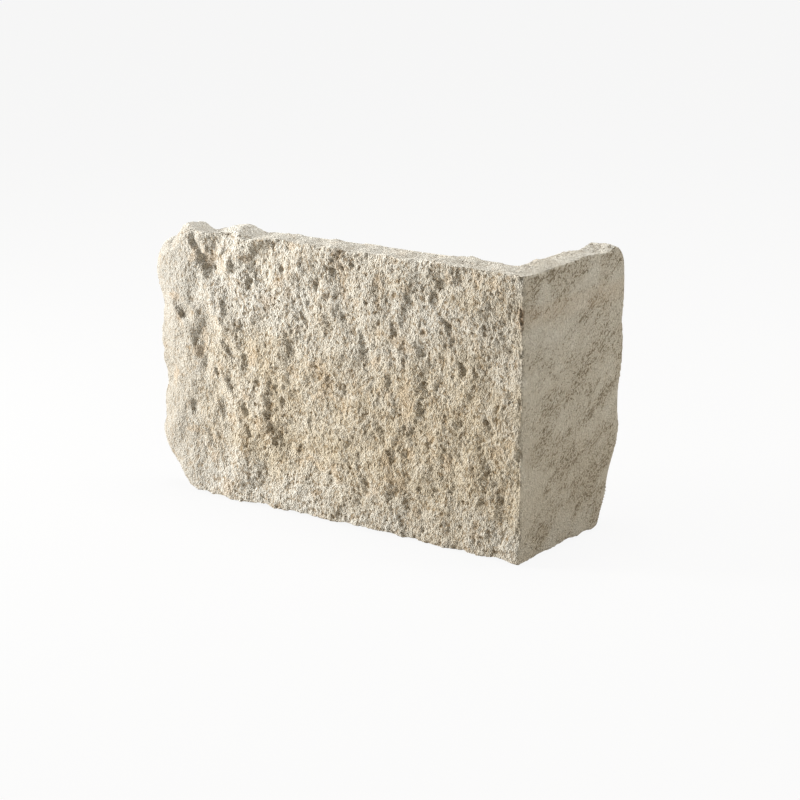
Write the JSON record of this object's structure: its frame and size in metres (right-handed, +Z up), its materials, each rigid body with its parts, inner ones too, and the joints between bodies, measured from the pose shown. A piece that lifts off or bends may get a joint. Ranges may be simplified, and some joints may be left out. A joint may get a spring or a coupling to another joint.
{
  "type": "stone cladding corner piece",
  "caption": "L-shaped cast stone veneer corner with a rough split long face, a flatter return face and flat backs that bed on a wall corner.",
  "frame": {"origin": "centre of the bounding box at the lowest point of the piece, which stands on its foot", "axes": "+X along the long leg towards the outer corner, +Y from the rough long face to its flat back and along the return leg, +Z up the height of the course"},
  "size_m": [0.3294, 0.1334, 0.2022],
  "materials": {
    "cast_stone": "matte"
  },
  "bodies": {
    "root": {"corner_stone": "cast_stone"}
  },
  "joints": []
}
